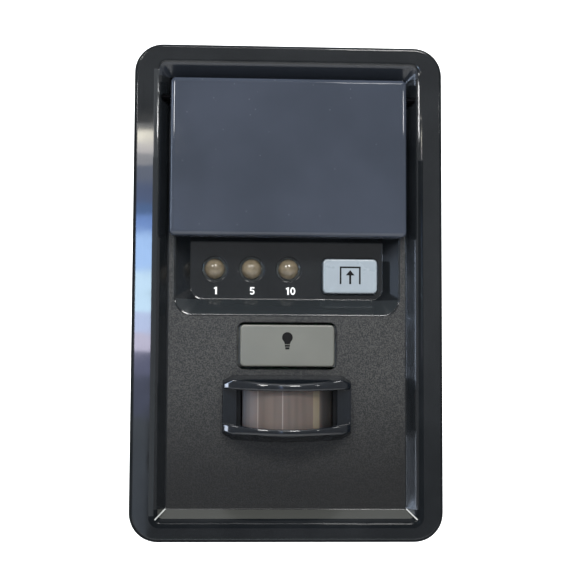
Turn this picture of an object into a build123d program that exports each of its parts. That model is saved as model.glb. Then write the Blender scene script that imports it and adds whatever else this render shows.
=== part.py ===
from build123d import *
import os

os.makedirs("parts", exist_ok=True)

# Garage door wall control: a raised glossy frame round a textured panel, a lift-up push bar,
# three timer lights, buttons and a hooded motion sensor.
# The origin is in the middle of the back face. +X is right and +Z is up, seen from the front.
# A depth is a distance from the wall towards the viewer, so depth d lies at Y = -d.

# Case
body_width = 76.0
body_height = 121.6
body_corner = 7.0
face_depth = 22.0
side_wall = 2.2
front_skin = 2.0
edge_round = 0.8
cut_over = 1.0
inner_half_width = body_width / 2 - side_wall
inner_half_height = body_height / 2 - side_wall
inner_corner = body_corner - side_wall

# Recess inside the raised frame
recess_depth = 3.2
frame_side = 6.0
frame_end = 4.5
slope_side_run = 2.6
slope_end_run = 3.2
recess_corner = 1.5
floor_corner = 0.6
lip_round = 2.3

# Half sizes of the textured panel. Places and widths on it are shares of these, so that they follow the body
floor_half_width = body_width / 2 - frame_side - slope_side_run
floor_half_height = body_height / 2 - frame_end - slope_end_run

# Timer pocket, which runs up behind the push bar
pocket_rim_half = 0.9388 * floor_half_width
pocket_bottom = -0.1092 * floor_half_height
pocket_depth = 3.6
pocket_side_run = 3.6
pocket_end_run = 4.1
pocket_rim_corner = 4.2
pocket_floor_corner = 2.9
floor_depth = face_depth - recess_depth
pocket_floor = floor_depth - pocket_depth
heel_bay_height = 8.7
heel_bay_bottom = floor_half_height - heel_bay_height
heel_bay_sink = 0.8

# Clearances
moving_gap = 0.3
cap_gap = 0.65
running_gap = 0.05
seat_gap = 0.02

# Rear cover
cover_thickness = 2.0
cover_inset = 0.6
tongue_gap = 0.2
tongue_thickness = 1.4
tongue_height = 3.0
pad_height = 1.2

# Wall fixing: two screws 83.3 mm apart, as on a single gang box
screw_spacing = 83.3
fixing_hole_radius = 2.1
fixing_boss_radius = 4.2
keyhole_entry_radius = 4.2
keyhole_drop = 5.55

# Wire window in the rear cover
wire_window_width = 0.7823 * floor_half_width
wire_window_bottom = 0.0942 * floor_half_height
wire_window_top = 0.4708 * floor_half_height
wire_window_corner = 1.5

# Case screws
case_screw_inset_x = 7.0
case_screw_inset_z = 6.2
case_screw_x = body_width / 2 - case_screw_inset_x
case_screw_z = body_height / 2 - case_screw_inset_z
case_screw_radius = 1.3
case_head_radius = 2.5
case_head_height = 1.4
case_head_gap = 0.2
case_screw_length = 11.0
case_boss_radius = 3.0
boss_bite = 1.0

# Circuit board
board_back = 6.0
board_thickness = 1.6
board_side_gap = 5.8
board_end_inset = 3.1
board_top_inset = 7.1
board_half_width = inner_half_width - board_side_gap
board_bottom = board_end_inset - floor_half_height
board_top = floor_half_height - board_top_inset
board_corner = 2.0
board_notch_half = 0.2721 * floor_half_width
board_notch_top = -0.6403 * floor_half_height
board_hole_gap = 0.6
board_post_inset_x = 3.5
board_post_inset_top = 6.0
board_post_inset_bottom = 5.0
board_post_x = board_half_width - board_post_inset_x
board_post_top_z = board_top - board_post_inset_top
board_post_bottom_z = board_bottom + board_post_inset_bottom
board_post_radius = 2.6
board_screw_radius = 1.1
board_head_radius = 2.2
board_head_height = 1.5
board_screw_length = 6.0

# Tact switches
tact_size = 6.0
tact_body_height = 3.5
tact_height = 4.3
tact_stem_radius = 1.75
tact_cavity_depth = 1.9
tact_stem_root = 1.2
tact_corner = 0.4

# Push bar and its hinge
bar_side_gap = 0.35
bar_top_gap = 0.8
bar_half_width = floor_half_width - bar_side_gap
bar_bottom = 0.2486 * floor_half_height
bar_top = floor_half_height - bar_top_gap
bar_rise = 1.6
bar_thickness = 4.0
bar_front = face_depth + bar_rise
bar_back = bar_front - bar_thickness
bar_plate = 1.8
bar_skirt = 1.6
bar_corner = 1.3
bar_round = 1.2
hinge_drop = 4.7
hinge_z = bar_top - hinge_drop
hinge_sink = 3.2
press_travel = 0.3
hinge_depth = bar_front - hinge_sink
rod_radius = 0.8
rod_inset = 5.6
rod_half_length = body_width / 2 - rod_inset
lug_radius = 2.0
bar_post_radius = 2.0
bar_post_hole_radius = 3.5
bar_rib_x = 14.0
bar_rib_thickness = 1.2
bar_rib_height = 1.3
bar_rib_drop = 2.6
bar_rib_top = hinge_z - bar_rib_drop
main_switch_z = 0.4953 * floor_half_height

# Light button
light_width = 0.7857 * floor_half_width
light_height = 0.193 * floor_half_height
light_corner = 1.1
light_z = -0.2524 * floor_half_height
light_rise = 1.4
light_front = floor_depth + light_rise
cap_round = 0.45
flange_thickness = 1.0
flange_margin = 1.15
button_post_radius = 2.0

# Hold-open button
hold_width = 0.4592 * floor_half_width
hold_height = 0.1601 * floor_half_height
hold_x = 0.534 * floor_half_width
hold_z = 0.0763 * floor_half_height
hold_rise = 2.1
hold_front = pocket_floor + hold_rise

# Small buttons under the push bar: x and z of each centre
small_width = 0.3061 * floor_half_width
small_height = 0.113 * floor_half_height
small_corner = 1.0
small_rise = 1.4
small_front = pocket_floor + small_rise
timer_set_place = (0.5952 * floor_half_width, 0.3766 * floor_half_height)
lock_place = (-0.5952 * floor_half_width, 0.3766 * floor_half_height)
learn_place = (0.5952 * floor_half_width, 0.6309 * floor_half_height)

# Timer lights
light_pitch = 0.3129 * floor_half_width
light_first_x = -0.6122 * floor_half_width
lamp_z = 0.1092 * floor_half_height
lamp_radius = 2.5
lamp_rise = 2.0
lamp_flange_radius = 2.9
lamp_flange = 1.0
lamp_spacer = 1.0
lamp_hole_radius = 3.1
lamp_ring_height = 2.0
lamp_ring_sink = 0.5

# Sensor hood, lens and motion sensor
hood_half_width = 0.5357 * floor_half_width
hood_top = -0.3879 * floor_half_height
hood_bottom = -0.6968 * floor_half_height
hood_rise = 8.5
hood_side_rise = 1.8
hood_front = floor_depth + hood_rise
hood_side_depth = floor_depth + hood_side_rise
hood_chamfer_x = 2.35
hood_chamfer_top = 1.4
hood_bottom_rise = 0.7
hood_chamfer_bottom = 1.4
hood_draft_top = 2.3
hood_draft_bottom = 1.8
hood_draft_side = 0.6
hood_lift = 0.9
hood_round = 0.75
hood_cheek_rise = 1.6
hood_cheek_depth = floor_depth + hood_cheek_rise
lip_edge_round = 0.5
window_half = 0.4184 * floor_half_width
window_top = -0.452 * floor_half_height
window_bottom = -0.6045 * floor_half_height
window_bow_top = 0.5
window_bow_bottom = 1.5
lens_half_width = 0.3707 * floor_half_width
lens_rise = 6.8
lens_side_rise = 1.4
lens_front = floor_depth + lens_rise
lens_side_depth = floor_depth + lens_side_rise
lens_thickness = 0.8
lens_top = -0.4463 * floor_half_height
lens_bottom = -0.6441 * floor_half_height
lens_seat_sink = 3.8
lens_seat = floor_depth - lens_seat_sink
lens_gap = 0.3
holder_wall = 1.3
holder_margin = 0.8
sensor_side_gap = 0.65
sensor_rim = 0.45
sensor_can_z = (lens_top + lens_bottom) / 2
sensor_can_height = 4.2
sensor_flange_radius = (lens_top - lens_bottom) / 2 - sensor_side_gap
sensor_can_radius = sensor_flange_radius - sensor_rim
sensor_flange = 0.5
sensor_window_width = 4.0
sensor_window_height = 3.0
sensor_window_sink = 0.15

# Terminals on the back of the board
block_width = 19.0
block_height = 9.0
block_top_gap = 1.0
block_top = wire_window_top - block_top_gap
block_depth = 1.8
block_rib = 1.6
block_rib_height = 3.0
block_corner = 0.5
terminal_end_gap = 0.2
screw_slot = 0.7
terminal_x = 5.2
terminal_radius = 1.5
terminal_head_radius = 3.0
terminal_head_height = 1.7
clamp_size = 7.0
clamp_thickness = 0.8

# Parts on the front of the board
chip_size = 10.0
chip_height = 1.2
chip_place = (-0.4082 * floor_half_width, 0.6403 * floor_half_height)
chip_corner = 0.3
amplifier_width = 4.0
amplifier_length = 8.7
amplifier_height = 1.5
amplifier_place = (0.4422 * floor_half_width, -0.8098 * floor_half_height)
capacitor_radius = 4.0
capacitor_length = 11.5
capacitor_place = (-0.7313 * floor_half_width, -0.5273 * floor_half_height)
choke_radius = 4.0
choke_core_radius = 2.6
choke_height = 8.0
choke_flange = 1.0
choke_place = (0.7313 * floor_half_width, -0.5273 * floor_half_height)
rectifier_width = 6.5
rectifier_length = 8.0
rectifier_height = 3.3
rectifier_place = (-0.4592 * floor_half_width, -0.8098 * floor_half_height)

# Places that follow from the sizes above
panel_back = floor_depth - front_skin
pocket_back = pocket_floor - front_skin
board_front = board_back + board_thickness
stem_top = board_front + tact_height
fixing_top = screw_spacing / 2
fixing_bottom = -screw_spacing / 2
hole_in_floor = cut_over + front_skin + cut_over
lamp_places = [(light_first_x + light_pitch * step, lamp_z) for step in range(3)]
switch_places = [
    (0, main_switch_z),
    (0, light_z),
    (hold_x, hold_z),
    timer_set_place,
    lock_place,
    learn_place,
]
case_screw_places = [(side * case_screw_x, end * case_screw_z) for side in (-1, 1) for end in (-1, 1)]
board_upper_posts = [(-board_post_x, board_post_top_z), (board_post_x, board_post_top_z)]
board_lower_posts = [(-board_post_x, board_post_bottom_z), (board_post_x, board_post_bottom_z)]
cheek_reach = hood_half_width + cut_over


def facing(depth):
    """The plane that faces the viewer at a depth: X to the right, Z up."""
    return Plane.XZ.offset(depth)


def box_sketch(left, right, bottom, top, corner, mode=Mode.ADD):
    """Draws a rounded rectangle between four sides in the sketch that is open."""
    with Locations(((left + right) / 2, (bottom + top) / 2)):
        RectangleRounded(right - left, top - bottom, corner, mode=mode)


# Space of the recess, from the textured floor to the face
with BuildPart() as recess_space:
    with BuildSketch(facing(floor_depth)):
        RectangleRounded(2 * floor_half_width, 2 * floor_half_height, floor_corner)
    with BuildSketch(facing(face_depth)):
        RectangleRounded(body_width - 2 * frame_side, body_height - 2 * frame_end, recess_corner)
    loft(ruled=True)

# Space of the timer pocket, with sloped sides and a straight top
with BuildPart() as pocket_space:
    with BuildSketch(facing(pocket_floor)):
        box_sketch(
            pocket_side_run - pocket_rim_half,
            pocket_rim_half - pocket_side_run,
            pocket_bottom + pocket_end_run,
            floor_half_height,
            pocket_floor_corner,
        )
    with BuildSketch(facing(floor_depth)):
        box_sketch(-pocket_rim_half, pocket_rim_half, pocket_bottom, floor_half_height, pocket_rim_corner)
    loft(ruled=True)

# Bay that the heel of the push bar swings into
with BuildPart() as heel_space:
    with BuildSketch(facing(pocket_floor - heel_bay_sink)):
        box_sketch(-floor_half_width, floor_half_width, heel_bay_bottom, floor_half_height, floor_corner)
    extrude(amount=pocket_depth + heel_bay_sink)

# Inside of the case, which keeps an even skin behind the recess and the pocket
with BuildPart() as inner_space:
    with BuildSketch(facing(cover_thickness)):
        RectangleRounded(2 * inner_half_width, 2 * inner_half_height, inner_corner)
    extrude(amount=face_depth - front_skin - cover_thickness)
    with BuildSketch(facing(panel_back)):
        RectangleRounded(
            2 * (floor_half_width + front_skin),
            2 * (floor_half_height + front_skin),
            floor_corner + front_skin,
        )
    with BuildSketch(facing(face_depth - front_skin)):
        RectangleRounded(
            body_width - 2 * (frame_side - front_skin),
            body_height - 2 * (frame_end - front_skin),
            recess_corner + front_skin,
        )
    loft(ruled=True, mode=Mode.SUBTRACT)
    with BuildSketch(facing(pocket_back)):
        box_sketch(
            pocket_side_run - pocket_rim_half - front_skin,
            pocket_rim_half - pocket_side_run + front_skin,
            pocket_bottom + pocket_end_run - front_skin,
            floor_half_height + front_skin,
            pocket_floor_corner + front_skin,
        )
    with BuildSketch(facing(panel_back)):
        box_sketch(
            -pocket_rim_half - front_skin,
            pocket_rim_half + front_skin,
            pocket_bottom - front_skin,
            floor_half_height + front_skin,
            pocket_rim_corner + front_skin,
        )
    loft(ruled=True, mode=Mode.SUBTRACT)
    with BuildSketch(facing(pocket_back - heel_bay_sink)):
        box_sketch(
            -floor_half_width - front_skin,
            floor_half_width + front_skin,
            heel_bay_bottom - front_skin,
            floor_half_height + front_skin,
            floor_corner + front_skin,
        )
    extrude(amount=pocket_depth + heel_bay_sink, mode=Mode.SUBTRACT)

# Front housing
with BuildPart() as front_housing:
    with BuildSketch(facing(cover_thickness)):
        RectangleRounded(body_width, body_height, body_corner)
    extrude(amount=face_depth - cover_thickness)
    fillet(front_housing.faces().sort_by(Axis.Y)[0].outer_wire().edges(), edge_round)
    add(recess_space.part, mode=Mode.SUBTRACT)
    fillet(front_housing.faces().sort_by(Axis.Y)[0].inner_wires()[0].edges(), lip_round)
    add(inner_space.part, mode=Mode.SUBTRACT)
    # Bosses for the case screws, which stop above the cover's pads
    with BuildSketch(facing(cover_thickness + pad_height)):
        with Locations(*case_screw_places):
            Circle(case_boss_radius)
    extrude(amount=panel_back + boss_bite - cover_thickness - pad_height)
    with BuildSketch(facing(cover_thickness)):
        with Locations(*case_screw_places):
            Circle(case_screw_radius)
    extrude(amount=case_screw_length, mode=Mode.SUBTRACT)
    # Posts that the board is screwed to
    with BuildSketch(facing(board_front)):
        with Locations(*board_upper_posts):
            Circle(board_post_radius)
    extrude(amount=pocket_back + boss_bite - board_front)
    with BuildSketch(facing(board_front)):
        with Locations(*board_lower_posts):
            Circle(board_post_radius)
    extrude(amount=panel_back + boss_bite - board_front)
    with BuildSketch(facing(board_front)):
        with Locations(*board_upper_posts, *board_lower_posts):
            Circle(board_screw_radius)
    extrude(amount=board_screw_length - board_thickness, mode=Mode.SUBTRACT)
    # Sleeve for the upper wall screw, from the pocket floor to the cover
    with BuildSketch(facing(cover_thickness)):
        with Locations((0, fixing_top)):
            Circle(fixing_boss_radius)
    extrude(amount=pocket_back + boss_bite - cover_thickness)
    add(pocket_space.part, mode=Mode.SUBTRACT)
    add(heel_space.part, mode=Mode.SUBTRACT)
    with BuildSketch(facing(cover_thickness - cut_over)):
        with Locations((0, fixing_top)):
            Circle(fixing_hole_radius)
    extrude(amount=pocket_floor + 2 * cut_over - cover_thickness, mode=Mode.SUBTRACT)
    # Openings in the textured floor
    with BuildSketch(facing(panel_back - cut_over)):
        with Locations((0, light_z)):
            RectangleRounded(light_width + 2 * cap_gap, light_height + 2 * cap_gap, light_corner + cap_gap)
        box_sketch(
            -lens_half_width - lens_gap,
            lens_half_width + lens_gap,
            lens_bottom - lens_gap,
            lens_top + lens_gap,
            lens_gap,
        )
    extrude(amount=hole_in_floor, mode=Mode.SUBTRACT)
    # Openings in the pocket floor
    with BuildSketch(facing(pocket_back - cut_over)):
        with Locations((hold_x, hold_z)):
            RectangleRounded(hold_width + 2 * moving_gap, hold_height + 2 * moving_gap, light_corner + moving_gap)
        with Locations(timer_set_place, lock_place, learn_place):
            RectangleRounded(
                small_width + 2 * moving_gap,
                small_height + 2 * moving_gap,
                small_corner + moving_gap,
            )
        with Locations((0, main_switch_z)):
            Circle(bar_post_hole_radius)
        with Locations(*lamp_places):
            Circle(lamp_hole_radius)
    extrude(amount=hole_in_floor, mode=Mode.SUBTRACT)
    # Bearings of the hinge rod in the two side slopes: short slots, in which the rod moves in when the bar is pressed
    with BuildSketch(Plane.YZ.offset(-rod_half_length - running_gap)):
        with Locations((-hinge_depth, hinge_z), (press_travel - hinge_depth, hinge_z)):
            Circle(rod_radius + running_gap)
        with Locations((press_travel / 2 - hinge_depth, hinge_z)):
            Rectangle(press_travel, 2 * (rod_radius + running_gap))
    extrude(amount=2 * (rod_half_length + running_gap), mode=Mode.SUBTRACT)
front_housing.part.label = "front_housing"
export_step(front_housing.part, "parts/front_housing.step")

# Rear cover: plate, tongue, screw pads, keyhole and wire window
with BuildPart() as rear_cover:
    with BuildSketch(facing(0)):
        RectangleRounded(
            body_width - 2 * cover_inset,
            body_height - 2 * cover_inset,
            body_corner - cover_inset,
        )
    extrude(amount=cover_thickness)
    with BuildSketch(facing(cover_thickness)):
        RectangleRounded(
            2 * (inner_half_width - tongue_gap),
            2 * (inner_half_height - tongue_gap),
            inner_corner - tongue_gap,
        )
        RectangleRounded(
            2 * (inner_half_width - tongue_gap - tongue_thickness),
            2 * (inner_half_height - tongue_gap - tongue_thickness),
            inner_corner - tongue_gap - tongue_thickness,
            mode=Mode.SUBTRACT,
        )
    extrude(amount=tongue_height)
    with BuildSketch(facing(cover_thickness)):
        with Locations(*case_screw_places):
            Circle(case_boss_radius + tongue_gap)
    extrude(amount=tongue_height, mode=Mode.SUBTRACT)
    with BuildSketch(facing(cover_thickness)):
        with Locations(*case_screw_places):
            Circle(case_boss_radius)
    extrude(amount=pad_height)
    with BuildSketch(facing(0)):
        with Locations(*case_screw_places):
            Circle(case_head_radius + case_head_gap)
    extrude(amount=case_head_height + case_head_gap, mode=Mode.SUBTRACT)
    with BuildSketch(facing(0)):
        with Locations(*case_screw_places):
            Circle(case_screw_radius + case_head_gap)
        with Locations((0, fixing_top)):
            Circle(fixing_hole_radius)
        with Locations((0, fixing_bottom - keyhole_drop)):
            Circle(keyhole_entry_radius)
        with Locations((0, fixing_bottom)):
            Circle(fixing_hole_radius)
        with Locations((0, fixing_bottom - keyhole_drop / 2)):
            Rectangle(2 * fixing_hole_radius, keyhole_drop)
        box_sketch(
            -wire_window_width / 2,
            wire_window_width / 2,
            wire_window_bottom,
            wire_window_top,
            wire_window_corner,
        )
    extrude(amount=cover_thickness + pad_height, mode=Mode.SUBTRACT)
rear_cover.part.label = "rear_cover"
export_step(rear_cover.part, "parts/rear_cover.step")

# Circuit board
with BuildPart() as circuit_board:
    with BuildSketch(facing(board_back)):
        box_sketch(-board_half_width, board_half_width, board_bottom, board_top, board_corner)
        with Locations((0, fixing_top)):
            Circle(fixing_boss_radius + board_hole_gap, mode=Mode.SUBTRACT)
        with Locations((0, (board_bottom - board_corner + board_notch_top) / 2)):
            Rectangle(
                2 * board_notch_half,
                board_notch_top - board_bottom + board_corner,
                mode=Mode.SUBTRACT,
            )
        with Locations(*board_upper_posts, *board_lower_posts):
            Circle(board_screw_radius, mode=Mode.SUBTRACT)
    extrude(amount=board_thickness)
circuit_board.part.label = "circuit_board"
export_step(circuit_board.part, "parts/circuit_board.step")

# Push bar: plate with skirts, hinge lugs, ribs and the post that works the main switch
with BuildPart() as push_bar:
    with BuildSketch(facing(bar_back)):
        box_sketch(-bar_half_width, bar_half_width, bar_bottom, bar_top, bar_corner)
    extrude(amount=bar_front - bar_back)
    fillet(push_bar.faces().sort_by(Axis.Y)[0].edges(), bar_round)
    with BuildSketch(facing(bar_back)):
        with Locations((0, (bar_bottom + bar_top) / 2)):
            Rectangle(2 * (bar_half_width - bar_skirt), bar_top - bar_bottom - 2 * bar_skirt)
    extrude(amount=bar_front - bar_plate - bar_back, mode=Mode.SUBTRACT)
    with BuildSketch(Plane.YZ.offset(bar_half_width - bar_skirt)):
        with Locations((-hinge_depth, hinge_z)):
            Circle(lug_radius)
    extrude(amount=bar_skirt)
    mirror(about=Plane.YZ)
    with BuildSketch(facing(bar_front - bar_plate)):
        for side in (-1, 1):
            with Locations((side * bar_rib_x, (bar_bottom + bar_rib_top) / 2)):
                Rectangle(bar_rib_thickness, bar_rib_top - bar_bottom - bar_skirt)
    extrude(amount=-bar_rib_height)
    with BuildSketch(facing(stem_top)):
        with Locations((0, main_switch_z)):
            Circle(bar_post_radius)
    extrude(amount=bar_front - bar_plate - stem_top)
    with BuildSketch(Plane.YZ.offset(-bar_half_width - cut_over)):
        with Locations((-hinge_depth, hinge_z)):
            Circle(rod_radius + running_gap)
    extrude(amount=2 * (bar_half_width + cut_over), mode=Mode.SUBTRACT)
push_bar.part.label = "push_bar"
export_step(push_bar.part, "parts/push_bar.step")

# Hinge rod
with BuildPart() as hinge_rod:
    with BuildSketch(Plane.YZ.offset(-rod_half_length)):
        with Locations((-hinge_depth, hinge_z)):
            Circle(rod_radius)
    extrude(amount=2 * rod_half_length)
hinge_rod.part.label = "hinge_rod"
export_step(hinge_rod.part, "parts/hinge_rod.step")


def button(width, height, corner, place, front, wall_back, end_margin=flange_margin):
    """A cap with a flange that keeps it behind the wall, and a post that reaches its switch."""
    flange_front = wall_back - moving_gap
    with BuildPart() as cap:
        with BuildSketch(facing(flange_front)):
            with Locations(place):
                RectangleRounded(width, height, corner)
        extrude(amount=front - flange_front)
        fillet(cap.faces().sort_by(Axis.Y)[0].edges(), cap_round)
        with BuildSketch(facing(flange_front)):
            with Locations(place):
                RectangleRounded(width + 2 * flange_margin, height + 2 * end_margin, corner)
        extrude(amount=-flange_thickness)
        with BuildSketch(facing(stem_top)):
            with Locations(place):
                Circle(button_post_radius)
        extrude(amount=flange_front - stem_top)
    return cap.part


# The light button's flange has side wings only, because the pocket's wall is close above it
light_button = button(light_width, light_height, light_corner, (0, light_z), light_front, panel_back, 0)
hold_open_button = button(hold_width, hold_height, light_corner, (hold_x, hold_z), hold_front, pocket_back)
timer_set_button = button(small_width, small_height, small_corner, timer_set_place, small_front, pocket_back)
lock_button = button(small_width, small_height, small_corner, lock_place, small_front, pocket_back)
learn_button = button(small_width, small_height, small_corner, learn_place, small_front, pocket_back)
light_button.label = "light_button"
export_step(light_button, "parts/light_button.step")
hold_open_button.label = "hold_open_button"
export_step(hold_open_button, "parts/hold_open_button.step")
timer_set_button.label = "timer_set_button"
export_step(timer_set_button, "parts/timer_set_button.step")
lock_button.label = "lock_button"
export_step(lock_button, "parts/lock_button.step")
learn_button.label = "learn_button"
export_step(learn_button, "parts/learn_button.step")

# Tact switch bodies, all six in one group
with BuildPart() as switch_bodies:
    with BuildSketch(facing(board_front)):
        with Locations(*switch_places):
            RectangleRounded(tact_size, tact_size, tact_corner)
    extrude(amount=tact_body_height)
    with BuildSketch(facing(board_front + tact_body_height - tact_cavity_depth)):
        with Locations(*switch_places):
            Circle(tact_stem_radius + moving_gap / 2)
    extrude(amount=tact_cavity_depth, mode=Mode.SUBTRACT)
switch_bodies.part.label = "switch_bodies"
export_step(switch_bodies.part, "parts/switch_bodies.step")


def switch_stem(place):
    """The plunger of one tact switch."""
    root = board_front + tact_body_height - tact_stem_root
    with BuildPart() as stem:
        with BuildSketch(facing(root)):
            with Locations(place):
                Circle(tact_stem_radius)
        extrude(amount=stem_top - root)
    return stem.part


stem_names = ["main_stem", "light_stem", "hold_open_stem", "timer_set_stem", "lock_stem", "learn_stem"]
for stem_name, stem_place in zip(stem_names, switch_places):
    stem = switch_stem(stem_place)
    stem.label = stem_name
    export_step(stem, f"parts/{stem_name}.step")

# Timer lights: a round lamp with a domed tip on a short spacer, in a clear ring
lamp_base = board_front + lamp_spacer
lamp_tip = pocket_floor + lamp_rise


def lamp(place):
    """One lamp: flange, barrel and domed tip, turned round its own axis."""
    centre_x, centre_z = place
    turning = Plane(origin=(centre_x, 0, centre_z), x_dir=(0, -1, 0), z_dir=(0, 0, 1))
    with BuildPart() as body:
        with BuildSketch(turning):
            with BuildLine():
                Polyline(
                    (lamp_tip, 0),
                    (lamp_base, 0),
                    (lamp_base, lamp_flange_radius),
                    (lamp_base + lamp_flange, lamp_flange_radius),
                    (lamp_base + lamp_flange, lamp_radius),
                    (lamp_tip - lamp_radius, lamp_radius),
                )
                RadiusArc((lamp_tip - lamp_radius, lamp_radius), (lamp_tip, 0), lamp_radius)
            make_face()
        revolve(axis=Axis((centre_x, 0, centre_z), (0, -1, 0)))
    return body.part


lamp_names = ["lamp_1_minute", "lamp_5_minutes", "lamp_10_minutes"]
for lamp_name, lamp_place in zip(lamp_names, lamp_places):
    lamp_body = lamp(lamp_place)
    lamp_body.label = lamp_name
    export_step(lamp_body, f"parts/{lamp_name}.step")

with BuildPart() as lamp_spacers:
    with BuildSketch(facing(board_front)):
        with Locations(*lamp_places):
            Circle(lamp_flange_radius)
    extrude(amount=lamp_spacer)
lamp_spacers.part.label = "lamp_spacers"
export_step(lamp_spacers.part, "parts/lamp_spacers.step")

with BuildPart() as lamp_rings:
    with BuildSketch(facing(pocket_floor - lamp_ring_sink)):
        with Locations(*lamp_places):
            Circle(lamp_hole_radius - seat_gap)
            Circle(lamp_radius + seat_gap, mode=Mode.SUBTRACT)
    extrude(amount=-lamp_ring_height)
lamp_rings.part.label = "lamp_rings"
export_step(lamp_rings.part, "parts/lamp_rings.step")

# Sensor hood: an eight-sided block with drawn-in sides and a bowed front, cut by the sensor window


def hood_outline(depth, top, bottom, half_width, bow, chamfer_bottom):
    """The hood's outline at a depth, with cut corners and a lower side that bows down."""
    inner = half_width - hood_chamfer_x
    shoulder = bottom + bow
    with BuildSketch(facing(depth)) as outline:
        with BuildLine():
            Polyline(
                (inner, shoulder),
                (half_width, shoulder + chamfer_bottom),
                (half_width, top - hood_chamfer_top),
                (inner, top),
                (-inner, top),
                (-half_width, top - hood_chamfer_top),
                (-half_width, shoulder + chamfer_bottom),
                (-inner, shoulder),
            )
            ThreePointArc((-inner, shoulder), (0, bottom), (inner, shoulder))
        make_face()
    return outline.sketch


def bow_plan(height, half_width, front, side_depth, back):
    """The plan of a block whose front is bowed, at a height, seen from above."""
    with BuildSketch(Plane.XY.offset(height)) as plan:
        with BuildLine():
            Polyline(
                (half_width, -side_depth),
                (half_width, -back),
                (-half_width, -back),
                (-half_width, -side_depth),
            )
            ThreePointArc((-half_width, -side_depth), (0, -front), (half_width, -side_depth))
        make_face()
    return plan.sketch


hood_foot = hood_outline(
    floor_depth, hood_top, hood_bottom, hood_half_width, hood_bottom_rise, hood_chamfer_bottom
)
hood_face = hood_outline(
    hood_front,
    hood_top - hood_draft_top,
    hood_bottom + hood_draft_bottom,
    hood_half_width - hood_draft_side,
    hood_bottom_rise + hood_lift,
    hood_chamfer_bottom / 2,
)
hood_plan = bow_plan(hood_bottom - cut_over, hood_half_width, hood_front, hood_side_depth, floor_depth)
lens_room_plan = bow_plan(
    lens_bottom - lens_gap,
    window_half,
    lens_front + lens_gap,
    lens_side_depth + lens_gap,
    floor_depth - cut_over,
)
lens_outer_plan = bow_plan(lens_bottom, lens_half_width, lens_front, lens_side_depth, lens_seat)
lens_inner_plan = bow_plan(
    lens_bottom,
    lens_half_width - lens_thickness,
    lens_front - lens_thickness,
    lens_side_depth,
    lens_seat,
)

with BuildPart() as sensor_hood:
    add(hood_foot)
    add(hood_face)
    loft(ruled=True)
    add(hood_plan)
    extrude(amount=hood_top - hood_bottom + 2 * cut_over, mode=Mode.INTERSECT)
    fillet(sensor_hood.faces().filter_by(GeomType.CYLINDER)[0].edges(), hood_round)
    # The cheeks beside the window lie lower than the two lips
    with BuildSketch(facing(hood_cheek_depth)):
        with BuildLine():
            ThreePointArc(
                (-cheek_reach, window_top),
                (0, window_top - window_bow_top),
                (cheek_reach, window_top),
            )
            Line((cheek_reach, window_top), (cheek_reach, window_bottom))
            ThreePointArc(
                (cheek_reach, window_bottom),
                (0, window_bottom - window_bow_bottom),
                (-cheek_reach, window_bottom),
            )
            Line((-cheek_reach, window_bottom), (-cheek_reach, window_top))
        make_face()
    extrude(amount=hood_front - hood_cheek_depth + cut_over, mode=Mode.SUBTRACT)
    fillet(sensor_hood.edges().sort_by(SortBy.LENGTH)[-2:], lip_edge_round)
    # Room for the lens behind the lips
    add(lens_room_plan)
    extrude(amount=lens_top - lens_bottom + 2 * lens_gap, mode=Mode.SUBTRACT)
sensor_hood.part.label = "sensor_hood"
export_step(sensor_hood.part, "parts/sensor_hood.step")

# Fresnel lens: a bowed strip with two straight legs
with BuildPart() as fresnel_lens:
    add(lens_outer_plan)
    extrude(amount=lens_top - lens_bottom)
    add(lens_inner_plan)
    extrude(amount=lens_top - lens_bottom, mode=Mode.SUBTRACT)
fresnel_lens.part.label = "fresnel_lens"
export_step(fresnel_lens.part, "parts/fresnel_lens.step")

# Lens holder: a light shield that stands on the board and carries the lens legs
with BuildPart() as lens_holder:
    with BuildSketch(facing(board_front)):
        box_sketch(
            -lens_half_width - holder_margin,
            lens_half_width + holder_margin,
            lens_bottom - holder_margin,
            lens_top + holder_margin,
            holder_margin,
        )
        box_sketch(
            holder_wall - holder_margin - lens_half_width,
            lens_half_width + holder_margin - holder_wall,
            lens_bottom - holder_margin + holder_wall,
            lens_top + holder_margin - holder_wall,
            holder_margin,
            mode=Mode.SUBTRACT,
        )
    extrude(amount=lens_seat - board_front)
lens_holder.part.label = "lens_holder"
export_step(lens_holder.part, "parts/lens_holder.step")

# Motion sensor: a metal can with a small window
with BuildPart() as motion_sensor:
    with BuildSketch(facing(board_front)):
        with Locations((0, sensor_can_z)):
            Circle(sensor_flange_radius)
    extrude(amount=sensor_flange)
    with BuildSketch(facing(board_front)):
        with Locations((0, sensor_can_z)):
            Circle(sensor_can_radius)
    extrude(amount=sensor_can_height)
    with BuildSketch(facing(board_front + sensor_can_height)):
        with Locations((0, sensor_can_z)):
            Rectangle(sensor_window_width, sensor_window_height)
    extrude(amount=-sensor_window_sink, mode=Mode.SUBTRACT)
motion_sensor.part.label = "motion_sensor"
export_step(motion_sensor.part, "parts/motion_sensor.step")

# Terminal block on the back of the board, with its clamps and screws
block_back = board_back - block_depth
clamp_back = block_back - clamp_thickness
terminal_z = block_top - block_height / 2
terminal_places = [(-terminal_x, terminal_z), (terminal_x, terminal_z)]

with BuildPart() as terminal_block:
    with BuildSketch(facing(block_back)):
        box_sketch(-block_width / 2, block_width / 2, block_top - block_height, block_top, block_corner)
    extrude(amount=block_depth)
    with BuildSketch(facing(block_back)):
        with Locations((0, terminal_z)):
            Rectangle(block_rib, block_height)
    extrude(amount=-block_rib_height)
    with BuildSketch(facing(block_back)):
        with Locations(*terminal_places):
            Circle(terminal_radius + seat_gap)
    extrude(amount=block_depth - terminal_end_gap, mode=Mode.SUBTRACT)
terminal_block.part.label = "terminal_block"
export_step(terminal_block.part, "parts/terminal_block.step")

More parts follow.
